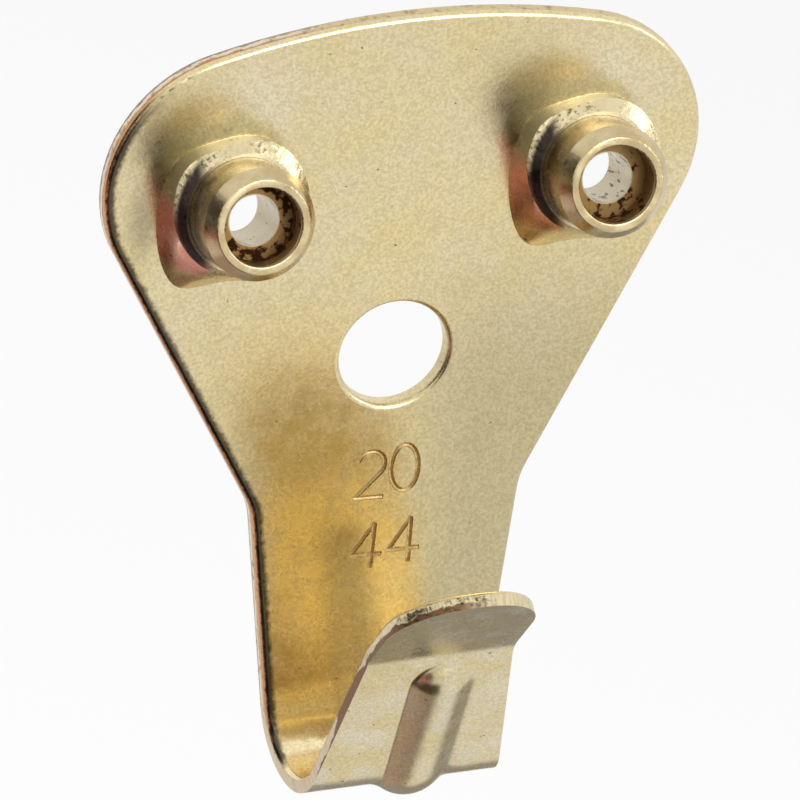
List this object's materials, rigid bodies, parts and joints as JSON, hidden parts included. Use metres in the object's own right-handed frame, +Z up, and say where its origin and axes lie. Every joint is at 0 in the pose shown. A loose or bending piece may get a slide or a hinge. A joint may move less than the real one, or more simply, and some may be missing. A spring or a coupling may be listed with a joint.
{
  "type": "picture hook",
  "caption": "Stamped sheet picture hook: a rounded plate with angled nail guides in drawn collars, a round middle hole and a ribbed J-hook that carries a picture's wire or ring.",
  "frame": {"origin": "where the axis of the round middle hole meets the wall plane", "axes": "+Z up, +Y into the wall, the hook's front faces -Y, +X to the right seen from the front"},
  "size_m": [0.033, 0.015, 0.0444],
  "materials": {
    "plate": "satin champagne brass plating with fine grain, stamped and drawn from steel sheet",
    "guide": "turned brass with a dull sheen, darker in the recess"
  },
  "bodies": {
    "root": {"hook_plate": "plate", "left_nail_guide": "guide", "right_nail_guide": "guide"}
  },
  "joints": []
}
